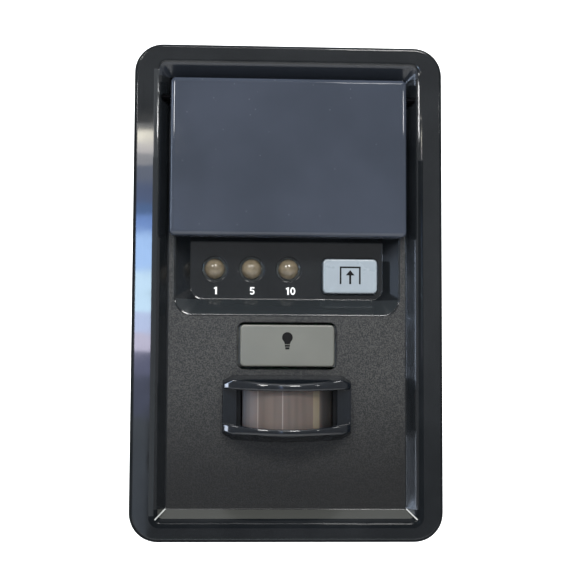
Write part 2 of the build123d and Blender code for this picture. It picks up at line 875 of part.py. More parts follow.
with BuildPart() as wire_clamps:
    with BuildSketch(facing(clamp_back)):
        with Locations(*terminal_places):
            Rectangle(clamp_size, clamp_size)
            Circle(terminal_radius + seat_gap, mode=Mode.SUBTRACT)
    extrude(amount=clamp_thickness)
wire_clamps.part.label = "wire_clamps"
export_step(wire_clamps.part, "parts/wire_clamps.step")


def screws(places, head_back, head_radius, head_height, shank_radius, length, slot_width, slot_depth):
    """A group of screws driven from the back, each with a slotted head."""
    with BuildPart() as group:
        with BuildSketch(facing(head_back)):
            with Locations(*places):
                Circle(head_radius)
        extrude(amount=head_height)
        with BuildSketch(facing(head_back + head_height)):
            with Locations(*places):
                Circle(shank_radius)
        extrude(amount=length)
        with BuildSketch(facing(head_back)):
            with Locations(*places):
                Rectangle(2 * head_radius, slot_width)
                Rectangle(slot_width, 2 * head_radius)
        extrude(amount=slot_depth, mode=Mode.SUBTRACT)
    return group.part


terminal_screws = screws(
    terminal_places,
    clamp_back - terminal_head_height,
    terminal_head_radius,
    terminal_head_height,
    terminal_radius,
    clamp_thickness + block_depth - 2 * terminal_end_gap,
    screw_slot,
    screw_slot,
)
terminal_screws.label = "terminal_screws"
export_step(terminal_screws, "parts/terminal_screws.step")

case_screws = screws(
    case_screw_places,
    case_head_gap,
    case_head_radius,
    case_head_height,
    case_screw_radius - seat_gap,
    case_screw_length - case_head_height,
    screw_slot,
    screw_slot,
)
case_screws.label = "case_screws"
export_step(case_screws, "parts/case_screws.step")

board_screws = screws(
    board_upper_posts + board_lower_posts,
    board_back - board_head_height,
    board_head_radius,
    board_head_height,
    board_screw_radius - seat_gap,
    board_screw_length - seat_gap,
    screw_slot,
    screw_slot,
)
board_screws.label = "board_screws"
export_step(board_screws, "parts/board_screws.step")

# Parts soldered to the front of the board
with BuildPart() as microcontroller:
    with BuildSketch(facing(board_front)):
        with Locations(chip_place):
            Rectangle(chip_size, chip_size)
    extrude(amount=chip_height)
    chamfer(microcontroller.faces().sort_by(Axis.Y)[0].edges(), chip_corner)
microcontroller.part.label = "microcontroller"
export_step(microcontroller.part, "parts/microcontroller.step")

with BuildPart() as amplifier_chip:
    with BuildSketch(facing(board_front)):
        with Locations(amplifier_place):
            Rectangle(amplifier_width, amplifier_length)
    extrude(amount=amplifier_height)
    chamfer(amplifier_chip.faces().sort_by(Axis.Y)[0].edges(), chip_corner)
amplifier_chip.part.label = "amplifier_chip"
export_step(amplifier_chip.part, "parts/amplifier_chip.step")

capacitor_x, capacitor_z = capacitor_place
with BuildPart() as storage_capacitor:
    with BuildSketch(Plane.XY.offset(capacitor_z - capacitor_length / 2)):
        with Locations((capacitor_x, -board_front - capacitor_radius)):
            Circle(capacitor_radius)
    extrude(amount=capacitor_length)
    fillet(storage_capacitor.edges().filter_by(GeomType.CIRCLE), edge_round)
storage_capacitor.part.label = "storage_capacitor"
export_step(storage_capacitor.part, "parts/storage_capacitor.step")

with BuildPart() as choke:
    with BuildSketch(facing(board_front)):
        with Locations(choke_place):
            Circle(choke_radius)
    extrude(amount=choke_height)
    with BuildSketch(facing(board_front + choke_flange)):
        with Locations(choke_place):
            Circle(choke_radius)
            Circle(choke_core_radius, mode=Mode.SUBTRACT)
    extrude(amount=choke_height - 2 * choke_flange, mode=Mode.SUBTRACT)
choke.part.label = "choke"
export_step(choke.part, "parts/choke.step")

with BuildPart() as rectifier:
    with BuildSketch(facing(board_front)):
        with Locations(rectifier_place):
            Rectangle(rectifier_width, rectifier_length)
    extrude(amount=rectifier_height)
    chamfer(rectifier.faces().sort_by(Axis.Y)[0].edges(), chip_corner)
rectifier.part.label = "rectifier"
export_step(rectifier.part, "parts/rectifier.step")
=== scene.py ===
import math

import bmesh
import bpy
from mathutils import Matrix, Vector


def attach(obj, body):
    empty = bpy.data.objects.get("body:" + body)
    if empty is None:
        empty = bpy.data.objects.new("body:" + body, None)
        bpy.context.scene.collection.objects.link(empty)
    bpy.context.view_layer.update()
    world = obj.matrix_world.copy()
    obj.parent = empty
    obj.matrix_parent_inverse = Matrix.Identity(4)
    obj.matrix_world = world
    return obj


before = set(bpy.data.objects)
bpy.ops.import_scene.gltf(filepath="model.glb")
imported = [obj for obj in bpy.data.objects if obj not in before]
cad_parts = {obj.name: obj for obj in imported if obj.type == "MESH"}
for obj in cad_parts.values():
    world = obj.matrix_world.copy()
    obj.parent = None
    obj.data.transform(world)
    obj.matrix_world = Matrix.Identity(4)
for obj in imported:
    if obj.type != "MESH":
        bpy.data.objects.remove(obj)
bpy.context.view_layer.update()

MM = 0.001
PHOTO_SIDE = 576
SENSOR = 36.0

# Heights of the faces above the wall, in millimetres, as the CAD has them
PANEL_DEPTH = 18.8
POCKET_DEPTH = 15.2
LIGHT_CAP_DEPTH = 20.2
HOLD_CAP_DEPTH = 17.3
SMALL_CAP_DEPTH = 16.6
BOARD_BACK_DEPTH = 6.0
BOARD_FRONT_DEPTH = 7.6

# Middles of the pieces that carry marks or added detail, as (x, z) in millimetres
LIGHT_PLACE = (0, -12.2)
HOLD_OPEN_PLACE = (15.7, 4.05)
TIMER_SET_PLACE = (17.5, 20.0)
LOCK_PLACE = (-17.5, 20.0)
LEARN_PLACE = (17.5, 33.5)
NUMBER_HEIGHT = 0.35
MICROCONTROLLER_PLACE = (-12.0, 34.0)
AMPLIFIER_PLACE = (13.0, -43.0)
CHOKE_PLACE = (21.5, -28.0)

# Half sizes of the housing's forms and the radii of their corners, in metres: its outline, the recess, the
# recess's rounded lip, the edges of the panel, and the rim of the timer pocket
BODY_X, BODY_Z, BODY_CORNER = 0.038, 0.0608, 0.007
RECESS_X, RECESS_Z = 0.0335, 0.0585
LIP_X, LIP_Z, LIP_CORNER = 0.03325, 0.0574, 0.0026
PANEL_X, PANEL_Z = 0.0294, 0.0531
RIM_X, RIM_Z, RIM_CORNER = 0.0276, 0.0058, 0.0042

# Heights above the wall, in millimetres, between which the housing's slopes and lower lip lie, and where its
# lip starts
RECESS_SLOPE = (18.95, 21.75)
LOWER_SLOPE = (18.95, 20.91)
LOWER_LIP = (20.92, 21.98)
POCKET_SLOPE = (15.3, 18.7)
LIP_START = 21.74

# Noise keeps mostly between these two values
NOISE_LOW, NOISE_HIGH = 0.3, 0.7

# Thickness of the printed marks, in millimetres
INK_THICKNESS = 0.02


def srgb(red, green, blue):
    """A linear colour from 8-bit screen values."""
    return tuple((value / 255) ** 2.2 for value in (red, green, blue)) + (1.0,)


class Look:
    """A node material with short-hands for the nodes used here."""

    def __init__(self, name, colour, roughness):
        self.material = bpy.data.materials.new(name)
        self.material.use_nodes = True
        self.nodes = self.material.node_tree.nodes
        self.links = self.material.node_tree.links
        self.shader = self.nodes["Principled BSDF"]
        self.place = self.nodes.new("ShaderNodeTexCoord").outputs["Object"]
        self.set("Base Color", colour)
        self.set("Roughness", roughness)

    def set(self, socket, value):
        """Puts a number, a colour or another node's output on one of the shader's sockets."""
        self.feed(self.shader.inputs[socket], value)

    def feed(self, socket, value):
        if isinstance(value, bpy.types.NodeSocket):
            self.links.new(value, socket)
        else:
            socket.default_value = value

    def noise(self, scale, detail=2.0, stretch=(1.0, 1.0, 1.0)):
        """Noise whose features are about 1/scale metres across."""
        mapping = self.nodes.new("ShaderNodeMapping")
        mapping.inputs["Scale"].default_value = stretch
        self.links.new(self.place, mapping.inputs["Vector"])
        node = self.nodes.new("ShaderNodeTexNoise")
        node.inputs["Scale"].default_value = scale
        node.inputs["Detail"].default_value = detail
        self.links.new(mapping.outputs["Vector"], node.inputs["Vector"])
        return node.outputs["Fac"]

    def cells(self, scale):
        """Distance to the nearest point of a random pattern."""
        node = self.nodes.new("ShaderNodeTexVoronoi")
        node.inputs["Scale"].default_value = scale
        self.links.new(self.place, node.inputs["Vector"])
        return node.outputs["Distance"]

    def axis(self, letter):
        """One coordinate of the shaded point, in metres."""
        node = self.nodes.new("ShaderNodeSeparateXYZ")
        self.links.new(self.place, node.inputs["Vector"])
        return node.outputs[letter]

    def math(self, kind, first, second=0.0, third=0.0):
        node = self.nodes.new("ShaderNodeMath")
        node.operation = kind
        for socket, value in zip(node.inputs, (first, second, third)):
            self.feed(socket, value)
        return node.outputs[0]

    def at(self, value, centre, reach):
        """1 where a value lies within reach of a centre, else 0."""
        return self.math("COMPARE", value, centre, reach)

    def below(self, value, limit):
        """1 where a value lies under a limit, else 0."""
        return self.math("LESS_THAN", value, limit)

    def above(self, value, limit):
        """1 where a value lies over a limit, else 0."""
        return self.math("GREATER_THAN", value, limit)

    def both(self, first, second):
        """1 where two masks hold."""
        return self.math("MULTIPLY", first, second)

    def either(self, first, second):
        """1 where one of two masks holds."""
        return self.math("MAXIMUM", first, second)

    def spread(self, value, start, end, low, high):
        """Maps start..end smoothly to low..high."""
        node = self.nodes.new("ShaderNodeMapRange")
        node.interpolation_type = "SMOOTHSTEP"
        for socket, number in zip(node.inputs, (value, start, end, low, high)):
            self.feed(socket, number)
        return node.outputs["Result"]

    def mix(self, factor, first, second):
        """A blend of two colours."""
        node = self.nodes.new("ShaderNodeMix")
        node.data_type = "RGBA"
        self.feed(node.inputs[0], factor)
        self.feed(node.inputs[6], first)
        self.feed(node.inputs[7], second)
        return node.outputs[2]

    def uneven(self, scale, detail, low, high):
        """Noise between two values."""
        return self.spread(self.noise(scale, detail), NOISE_LOW, NOISE_HIGH, low, high)

    def mottled(self, scale, detail, first, second):
        """Two colours, blended by noise."""
        return self.mix(self.uneven(scale, detail, 0.0, 1.0), first, second)

    def relief(self, height, distance, edge=0.0):
        """Bump from a height, over edges softened by a small radius."""
        node = self.nodes.new("ShaderNodeBump")
        node.inputs["Strength"].default_value = 1.0
        node.inputs["Distance"].default_value = distance
        self.feed(node.inputs["Height"], height)
        if edge:
            softened = self.nodes.new("ShaderNodeBevel")
            softened.samples = 4
            softened.inputs["Radius"].default_value = edge
            self.links.new(softened.outputs["Normal"], node.inputs["Normal"])
        self.set("Normal", node.outputs["Normal"])


def moulded(name, colour, roughness, drift=0.1, grain=700.0, grain_depth=0.000004, edge=0.00015):
    """Moulded plastic: slightly uneven colour and gloss, and a fine skin."""
    look = Look(name, colour, roughness)
    dark = tuple(value * (1 - drift) for value in colour[:3]) + (1.0,)
    light = tuple(value * (1 + drift) for value in colour[:3]) + (1.0,)
    look.set("Base Color", look.mottled(60.0, 3.0, dark, light))
    look.set("Roughness", look.uneven(150.0, 4.0, roughness * 0.85, roughness * 1.2))
    look.relief(look.noise(grain, 2.0), grain_depth, edge)
    return look


def metal(name, colour, roughness):
    """Metal with a faint mottled tarnish."""
    look = moulded(name, colour, roughness, 0.12, 1500.0, 0.000006, 0.0001)
    look.set("Metallic", 1.0)
    return look


def dress(look, *names):
    """Gives CAD nodes a finished material."""
    for name in names:
        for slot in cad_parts[name].material_slots:
            slot.material = look.material


# Front housing: black gloss, with a spark-textured panel in the recess
housing_look = Look("housing_black", srgb(30, 32, 34), 0.1)
house_x, house_y, house_z = (housing_look.axis(letter) for letter in "XYZ")
reach_x, reach_z = housing_look.math("ABSOLUTE", house_x), housing_look.math("ABSOLUTE", house_z)


def between(low, high):
    """1 where the surface of the housing lies between two heights above the wall, in millimetres."""
    return housing_look.at(house_y, -(low + high) / 2 * MM, (high - low) / 2 * MM)


def corner_distance(x_start, z_reach, z_start):
    """How far a point lies out past a start in x, a start in z, or round the corner of both."""
    past_x = housing_look.math("MAXIMUM", housing_look.math("SUBTRACT", reach_x, x_start), 0.0)
    past_z = housing_look.math("MAXIMUM", housing_look.math("SUBTRACT", z_reach, z_start), 0.0)
    squares = (housing_look.math("POWER", past, 2.0) for past in (past_x, past_z))
    return housing_look.math("SQRT", housing_look.math("ADD", *squares))


in_recess = housing_look.both(housing_look.below(reach_x, RECESS_X), housing_look.below(reach_z, RECESS_Z))
PANEL_REACH = 0.06
panel_level = housing_look.both(in_recess, between(PANEL_DEPTH - PANEL_REACH, PANEL_DEPTH + PANEL_REACH))

# Smooth bands on the panel follow the rim of the timer pocket and the foot of the side slopes
RIM_BAND, FOOT_BAND = 0.00035, 0.00025
downwards = housing_look.math("MULTIPLY", house_z, -1.0)
rim_distance = corner_distance(RIM_X - RIM_CORNER, downwards, RIM_Z - RIM_CORNER)
textured = housing_look.both(
    housing_look.above(rim_distance, RIM_CORNER + RIM_BAND), housing_look.below(reach_x, PANEL_X - FOOT_BAND)
)
panel_mask = housing_look.both(panel_level, textured)

# Painted shadow: the panel behind the sensor window, in the hood's shade, is coloured near black
WINDOW_X, WINDOW_MIDDLE, WINDOW_REACH = 0.0158, -0.0281, 0.0048
painted_hood_shadow = housing_look.both(
    housing_look.below(reach_x, WINDOW_X), housing_look.at(house_z, WINDOW_MIDDLE, WINDOW_REACH)
)

# The slopes of the recess and of the pocket are satin, with a painted highlight along the seam in the
# recess's two lower corners
SLOPE_START_Z, SEAM_REACH = 0.053, 0.00022
POCKET_FOOT_Z, POCKET_RIGHT_X = -0.0019, 0.0215
at_bottom = housing_look.below(house_z, -SLOPE_START_Z)
recess_slope = housing_look.both(in_recess, between(*RECESS_SLOPE))
top_slope = housing_look.both(recess_slope, housing_look.above(house_z, SLOPE_START_Z))
lower_slope = housing_look.both(at_bottom, between(*LOWER_SLOPE))
diagonal = housing_look.math("SUBTRACT", reach_z, PANEL_Z - PANEL_X)
past_diagonal = housing_look.math("SUBTRACT", reach_x, diagonal)
on_diagonal = housing_look.both(recess_slope, housing_look.at(past_diagonal, 0.0, SEAM_REACH))
painted_seam_highlight = housing_look.both(at_bottom, on_diagonal)
pocket_slope = housing_look.both(in_recess, between(*POCKET_SLOPE))
pocket_foot = housing_look.both(pocket_slope, housing_look.below(house_z, POCKET_FOOT_Z))
pocket_right = housing_look.both(pocket_slope, housing_look.above(house_x, POCKET_RIGHT_X))
satin = housing_look.either(recess_slope, pocket_slope)

# Most of the recess's lip and the case's outer edge are duller
EDGE_ROUND = 0.0007
LIP_LEFT_X, LIP_LEFT_Z, LIP_DULL_Z = -0.03, 0.0545, 0.0325
lip_distance = corner_distance(LIP_X - LIP_CORNER, reach_z, LIP_Z - LIP_CORNER)
lip = housing_look.both(
    housing_look.below(lip_distance, LIP_CORNER), housing_look.below(house_y, -LIP_START * MM)
)
beside_slope = housing_look.both(
    housing_look.below(house_x, LIP_LEFT_X), housing_look.below(reach_z, LIP_LEFT_Z)
)
left_lip = housing_look.both(lip, beside_slope)
dull_lip = housing_look.both(lip, housing_look.below(house_z, LIP_DULL_Z))
lower_lip = housing_look.both(in_recess, housing_look.both(at_bottom, between(*LOWER_LIP)))
outline_distance = corner_distance(BODY_X - BODY_CORNER, reach_z, BODY_Z - BODY_CORNER)
outer_edge = housing_look.above(outline_distance, BODY_CORNER - EDGE_ROUND)
dull_edges = housing_look.either(housing_look.either(dull_lip, lower_lip), outer_edge)

# The gloss, and lighter tones of painted light on the slopes and the left lip, with a painted highlight on
# the corner seams
gloss_colour = housing_look.mottled(70.0, 3.0, srgb(22, 24, 26), srgb(28, 30, 32))
for mask, colour in (
    (pocket_foot, srgb(38, 41, 43)),
    (lower_slope, srgb(56, 57, 55)),
    (left_lip, srgb(44, 46, 48)),
    (top_slope, srgb(38, 41, 46)),
    (painted_seam_highlight, srgb(160, 162, 160)),
):
    gloss_colour = housing_look.mix(mask, gloss_colour, colour)

# The speckled panel, with painted shade darkening it towards its lower end
SHADE_LOW_Z, SHADE_HIGH_Z, SHADE_SHARE = -0.05, -0.014, 0.85
speckle = housing_look.noise(3600.0, 4.0)
speckle_share = housing_look.spread(speckle, 0.38, 0.66, 0.0, 1.0)
panel_colour = housing_look.mix(speckle_share, srgb(38, 39, 40), srgb(66, 66, 65))
shade = housing_look.spread(house_z, SHADE_LOW_Z, SHADE_HIGH_Z, SHADE_SHARE, 0.0)
panel_colour = housing_look.mix(shade, panel_colour, srgb(22, 22, 22))
panel_colour = housing_look.mix(painted_hood_shadow, panel_colour, srgb(5, 5, 6))
housing_look.set("Base Color", housing_look.mix(panel_mask, gloss_colour, panel_colour))

roughness = housing_look.uneven(180.0, 4.0, 0.025, 0.055)
for mask, extra in ((satin, 0.12), (outer_edge, 0.4), (panel_mask, 0.3)):
    roughness = housing_look.math("MULTIPLY_ADD", mask, extra, roughness)
housing_look.set("Roughness", roughness)

lost_gloss = housing_look.math("MULTIPLY", panel_mask, 0.3)
for mask, share in ((lower_slope, 0.4), (dull_edges, 0.46), (pocket_right, 0.42)):
    lost_gloss = housing_look.math("MULTIPLY_ADD", mask, share, lost_gloss)
housing_look.set("Specular IOR Level", housing_look.math("SUBTRACT", 0.5, lost_gloss))

skin = housing_look.math("MULTIPLY", housing_look.noise(220.0, 1.0), 0.05)
grit = housing_look.math("MULTIPLY", panel_mask, speckle)
housing_look.relief(housing_look.math("ADD", skin, grit), 0.00006, 0.0004)
dress(housing_look, "front_housing")

# Push bar: slate blue, glossy, with a few dust specks and a dull upper edge
BAR_DULL_START, BAR_DULL_END = 0.0509, 0.0514
bar_look = Look("bar_slate", srgb(54, 60, 73), 0.08)
dust = bar_look.spread(bar_look.cells(330.0), 0.035, 0.06, 1.0, 0.0)
bar_base = bar_look.mottled(40.0, 3.0, srgb(45, 50, 59), srgb(51, 56, 66))
bar_look.set("Base Color", bar_look.mix(bar_look.math("MULTIPLY", dust, 0.12), bar_base, srgb(150, 156, 165)))
bar_look.set("Roughness", bar_look.uneven(160.0, 4.0, 0.025, 0.06))
upper_edge = bar_look.spread(bar_look.axis("Z"), BAR_DULL_START, BAR_DULL_END, 0.5, 0.05)
bar_look.set("Specular IOR Level", upper_edge)
bar_look.relief(bar_look.noise(190.0, 1.0), 0.000004)
dress(bar_look, "push_bar")

# Lens: milky strip with faint upright seams and bands, and painted shade at both ends
LEFT_SEAM, RIGHT_SEAM, SEAM_HALF = -0.0072, -0.0013, 0.00012
WARM_BAND, WARM_HALF = 0.0069, 0.0008
PALE_BAND, PALE_CORE, PALE_FADE = -0.0081, 0.0002, 0.0014
lens_look = Look("lens_milky", srgb(92, 82, 79), 0.42)
across = lens_look.axis("X")
seams = lens_look.math(
    "ADD", lens_look.at(across, LEFT_SEAM, SEAM_HALF), lens_look.at(across, RIGHT_SEAM, SEAM_HALF)
)
warm_band = lens_look.at(across, WARM_BAND, WARM_HALF)
off_pale_band = lens_look.math("ABSOLUTE", lens_look.math("SUBTRACT", across, PALE_BAND))
pale_band = lens_look.spread(off_pale_band, PALE_CORE, PALE_FADE, 1.0, 0.0)
streaks = lens_look.noise(420.0, 2.0, (1.0, 1.0, 0.03))
lens_colour = lens_look.mix(
    lens_look.spread(streaks, 0.35, 0.65, 0.0, 1.0), srgb(63, 56, 53), srgb(76, 67, 62)
)
for mask, colour in (
    (lens_look.math("MULTIPLY", warm_band, 0.4), srgb(118, 110, 88)),
    (lens_look.math("MULTIPLY", pale_band, 0.15), srgb(112, 106, 110)),
    (lens_look.math("MULTIPLY", seams, 0.3), srgb(150, 144, 142)),
    # Painted shade: the two ends of the strip, where it curves away under the hood, are darker
    (lens_look.spread(across, 0.0074, 0.0088, 0.0, 1.0), srgb(26, 24, 23)),
    (lens_look.spread(across, -0.0104, -0.0092, 1.0, 0.0), srgb(50, 46, 46)),
):
    lens_colour = lens_look.mix(mask, lens_colour, colour)
lens_look.set("Base Color", lens_colour)
lens_look.set("Subsurface Weight", 0.25)
lens_look.set("Subsurface Scale", 0.001)
lens_look.relief(lens_look.math("ADD", streaks, seams), 0.000004, 0.0001)
dress(lens_look, "fresnel_lens")

# Lamps: milky domes
lamp_look = Look("lamp_milky", srgb(114, 105, 90), 0.03)
lamp_mottle = lamp_look.noise(600.0, 3.0)
lamp_share = lamp_look.spread(lamp_mottle, 0.35, 0.65, 0.0, 1.0)
lamp_look.set("Base Color", lamp_look.mix(lamp_share, srgb(91, 83, 69), srgb(108, 100, 85)))
lamp_look.set("Subsurface Weight", 0.3)
lamp_look.set("Subsurface Scale", 0.0012)
lamp_look.set("Subsurface Radius", (1.0, 0.85, 0.65))
lamp_look.relief(lamp_mottle, 0.000001)
dress(lamp_look, "lamp_1_minute", "lamp_5_minutes", "lamp_10_minutes")

# Rings round the lamps: clear plastic
clear_look = Look("clear_acrylic", srgb(130, 136, 136), 0.04)
clear_look.set("Transmission Weight", 0.9)
clear_look.set("IOR", 1.49)
clear_look.relief(clear_look.noise(400.0, 2.0), 0.000005, 0.0001)
dress(clear_look, "lamp_rings")

# Circuit board: green mask over copper tracks, with glass weave
board_look = Look("board_green", srgb(20, 70, 44), 0.3)
weave = board_look.noise(900.0, 2.0, (1.0, 1.0, 0.25))
off_track = board_look.math("ABSOLUTE", board_look.math("SUBTRACT", board_look.noise(130.0, 0.0), 0.5))
tracks = board_look.spread(off_track, 0.012, 0.02, 1.0, 0.0)
mask_share = board_look.spread(weave, NOISE_LOW, NOISE_HIGH, 0.0, 1.0)
mask_colour = board_look.mix(mask_share, srgb(16, 62, 40), srgb(24, 78, 50))
track_share = board_look.math("MULTIPLY", tracks, 0.7)
board_look.set("Base Color", board_look.mix(track_share, mask_colour, srgb(46, 112, 66)))
board_look.relief(board_look.math("ADD", tracks, board_look.math("MULTIPLY", weave, 0.2)), 0.00002, 0.0001)
dress(board_look, "circuit_board")

# The other mouldings and metals
CHIP_NODES = ("microcontroller", "amplifier_chip", "rectifier")
STEM_NODES = ("main_stem", "light_stem", "hold_open_stem", "timer_set_stem", "lock_stem", "learn_stem")
dress(moulded("cover_black", srgb(34, 35, 36), 0.5, 0.12, 1800.0, 0.00003), "rear_cover")
dress(moulded("hood_black", srgb(22, 25, 29), 0.07, 0.08, 260.0, 0.000004), "sensor_hood")
for name, colour, roughness, drift, nodes in (
    ("cap_grey", srgb(91, 92, 87), 0.34, 0.05, ("light_button",)),
    ("cap_white", srgb(127, 136, 143), 0.3, 0.04, ("hold_open_button",)),
    ("cap_dark", srgb(66, 69, 74), 0.34, 0.06, ("timer_set_button", "lock_button")),
    ("cap_yellow", srgb(186, 150, 44), 0.34, 0.06, ("learn_button",)),
):
    dress(moulded(name, colour, roughness, drift, 1300.0, 0.000006, 0.0001), *nodes)
dress(moulded("switch_black", srgb(30, 30, 31), 0.45), "switch_bodies")
dress(moulded("stem_white", srgb(214, 212, 204), 0.4), *STEM_NODES)
dress(moulded("spacer_nylon", srgb(48, 48, 50), 0.5), "lamp_spacers")
dress(moulded("holder_black", srgb(24, 24, 25), 0.6), "lens_holder")
dress(moulded("block_green", srgb(38, 104, 66), 0.4), "terminal_block")
dress(moulded("chip_epoxy", srgb(30, 30, 32), 0.5, 0.1, 2500.0, 0.00001), *CHIP_NODES)
dress(moulded("capacitor_sleeve", srgb(32, 44, 78), 0.25), "storage_capacitor")
dress(moulded("ferrite", srgb(52, 50, 50), 0.55, 0.15, 1600.0, 0.00002), "choke")
dress(metal("rod_black_steel", srgb(12, 12, 13), 0.4), "hinge_rod")
dress(metal("can_nickel", srgb(190, 186, 176), 0.22), "motion_sensor")
dress(metal("clamp_zinc", srgb(176, 178, 182), 0.35), "wire_clamps")
dress(metal("screw_brass", srgb(186, 158, 96), 0.28), "terminal_screws")
dress(metal("screw_zinc", srgb(150, 152, 156), 0.32), "case_screws", "board_screws")

# Inks, solder and wire, which only the added pieces wear
ink_white = moulded("ink_white", srgb(232, 234, 236), 0.4)
ink_dark = moulded("ink_dark", srgb(10, 10, 12), 0.6)
ink_dark.set("Specular IOR Level", 0.15)
solder_look = metal("solder", srgb(196, 198, 202), 0.2)
copper_look = metal("copper_wire", srgb(176, 98, 54), 0.22)


def add_piece(name, data, look, body):
    """Adds a mesh or curve that rides on a body."""
    made = bpy.data.objects.new(name, data)
    bpy.context.scene.collection.objects.link(made)
    made.data.materials.append(look.material)
    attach(made, body)


def ring(centre_x, centre_z, radius, start=0.0, end=360.0, steps=32):
    """Points on a circle, in millimetres."""
    angles = [math.radians(start + (end - start) * step / steps) for step in range(steps + 1)]
    return [(centre_x + radius * math.cos(angle), centre_z + radius * math.sin(angle)) for angle in angles]


def band(outer, inner):
    """A closed outline between two rows of points."""
    return outer + inner[::-1]


def bar(left, right, bottom, top):
    """An upright rectangle."""
    return [(left, bottom), (right, bottom), (right, top), (left, top)]


def mark(name, outlines, place, depth, look, body):
    """A printed mark: flat outlines with a little thickness, on a face that looks at the viewer."""
    made = bmesh.new()
    for outline in outlines:
        corners = [
            made.verts.new(((place[0] + x) * MM, -depth * MM, (place[1] + z) * MM)) for x, z in outline
        ]
        face = made.faces.new(corners)
        lifted = bmesh.ops.extrude_face_region(made, geom=[face])["geom"]
        bmesh.ops.translate(
            made,
            vec=(0, -INK_THICKNESS * MM, 0),
            verts=[part for part in lifted if isinstance(part, bmesh.types.BMVert)],
        )
    bmesh.ops.recalc_face_normals(made, faces=made.faces)
    mesh = bpy.data.meshes.new(name)
    made.to_mesh(mesh)
    made.free()
    add_piece(name, mesh, look, body)


def shifted(outline, offset):
    """An outline moved sideways."""
    return [(x + offset, z) for x, z in outline]


# Numbers under the three timer lights
one = [(-0.22, -0.92), (0.22, -0.92), (0.22, 0.92), (-0.1, 0.92), (-0.58, 0.64), (-0.45, 0.34), (-0.22, 0.47)]
five = [(-0.5, 0.92), (0.55, 0.92), (0.55, 0.6), (-0.18, 0.6), (-0.22, 0.27)]
five += ring(-0.05, -0.33, 0.62, 70, -150, 20) + ring(-0.05, -0.33, 0.28, -150, 110, 20) + [(-0.58, -0.03)]
nought = band([(0.66 * x, z) for x, z in ring(0, 0, 0.95)], [(0.45 * x, z) for x, z in ring(0, 0, 0.6)])
for name, outlines, centre_x in (
    ("minutes_1", [one], -17.6),
    ("minutes_5", [five], -8.6),
    ("minutes_10", [shifted(one, -0.55), shifted(nought, 0.62)], 0.9),
):
    mark(name, outlines, (centre_x, NUMBER_HEIGHT), POCKET_DEPTH, ink_white, "housing")

# Bulb on the light button
bulb_shape = ring(0, 0.8, 1.3, -50, 230) + [(-0.62, -0.85), (0.62, -0.85)]
mark(
    "light_bulb_mark",
    [bulb_shape, bar(-0.62, 0.62, -1.45, -1.0), bar(-0.5, 0.5, -2.1, -1.6)],
    LIGHT_PLACE,
    LIGHT_CAP_DEPTH,
    ink_dark,
    "light_button",
)

# Door with an arrow on the hold-open button
mark(
    "hold_open_mark",
    [
        bar(-2.6, -2.2, -2.0, 2.0),
        bar(2.2, 2.6, -2.0, 2.0),
        bar(-2.6, 2.6, 2.0, 2.4),
        bar(-0.25, 0.25, -2.0, 0.2),
        [(-1.1, 0.2), (1.1, 0.2), (0, 1.5)],
    ],
    HOLD_OPEN_PLACE,
    HOLD_CAP_DEPTH,
    ink_dark,
    "hold_open_button",
)

# Marks on the three small buttons under the bar
mark(
    "timer_set_mark",
    [
        band(ring(0, 0, 1.9), ring(0, 0, 1.55)),
        bar(-0.15, 0.15, 0, 1.2),
        bar(-0.15, 0.9, -0.3, 0),
    ],
    TIMER_SET_PLACE,
    SMALL_CAP_DEPTH,
    ink_white,
    "timer_set_button",
)
mark(
    "lock_mark",
    [bar(-1.3, 1.3, -1.7, 0.3), band(ring(0, 0.3, 1.05, 0, 180), ring(0, 0.3, 0.7, 0, 180))],
    LOCK_PLACE,
    SMALL_CAP_DEPTH,
    ink_white,
    "lock_button",
)
mark(
    "learn_mark",
    [band(ring(0, 0, 1.6), ring(0, 0, 1.2)), ring(0, 0, 0.5)],
    LEARN_PLACE,
    SMALL_CAP_DEPTH,
    ink_dark,
    "learn_button",
)


def merged(name, makers):
    """Solder as one mesh of several small solids: each maker fills a bmesh at its own place."""
    made = bmesh.new()
    for maker in makers:
        maker(made)
    mesh = bpy.data.meshes.new(name)
    made.to_mesh(mesh)
    made.free()
    mesh.shade_smooth()
    add_piece(name, mesh, solder_look, "housing")


def solder_dome(x, z, radius=0.75, height=0.5):
    """A solder joint: a low dome on the back of the board."""

    def maker(made):
        bmesh.ops.create_uvsphere(
            made,
            u_segments=16,
            v_segments=8,
            radius=radius * MM,
            matrix=Matrix.Translation((x * MM, -BOARD_BACK_DEPTH * MM, z * MM))
            @ Matrix.Diagonal((1, height / radius, 1, 1))
            @ Matrix.Rotation(math.pi / 2, 4, "X"),
        )

    return maker


def chip_leg(x, z, along, length=1.2, width=0.35, height=0.5):
    """A leg of a chip: a small block that lies on the front of the board."""
    size = (length, height, width) if along == "X" else (width, height, length)

    def maker(made):
        bmesh.ops.create_cube(
            made,
            size=MM,
            matrix=Matrix.Translation((x * MM, -(BOARD_FRONT_DEPTH + height / 2) * MM, z * MM))
            @ Matrix.Diagonal((*size, 1)),
        )

    return maker


JOINT_ROWS, JOINT_COLUMNS = (12.6, 10.0), (-7.5, -4.5, -1.5, 1.5, 4.5, 7.5)
merged("board_back_joints", [solder_dome(x, z) for z in JOINT_ROWS for x in JOINT_COLUMNS])

# Legs on the four sides of the microcontroller, and on two sides of the amplifier
QUAD_LEGS, QUAD_PITCH, QUAD_REACH = 10, 0.8, 5.4
quad_x, quad_z = MICROCONTROLLER_PLACE
quad_legs = []
for step in range(QUAD_LEGS):
    shift = (step - (QUAD_LEGS - 1) / 2) * QUAD_PITCH
    for side in (-1, 1):
        quad_legs.append(chip_leg(quad_x + side * QUAD_REACH, quad_z + shift, "X"))
        quad_legs.append(chip_leg(quad_x + shift, quad_z + side * QUAD_REACH, "Z"))
merged("microcontroller_legs", quad_legs)

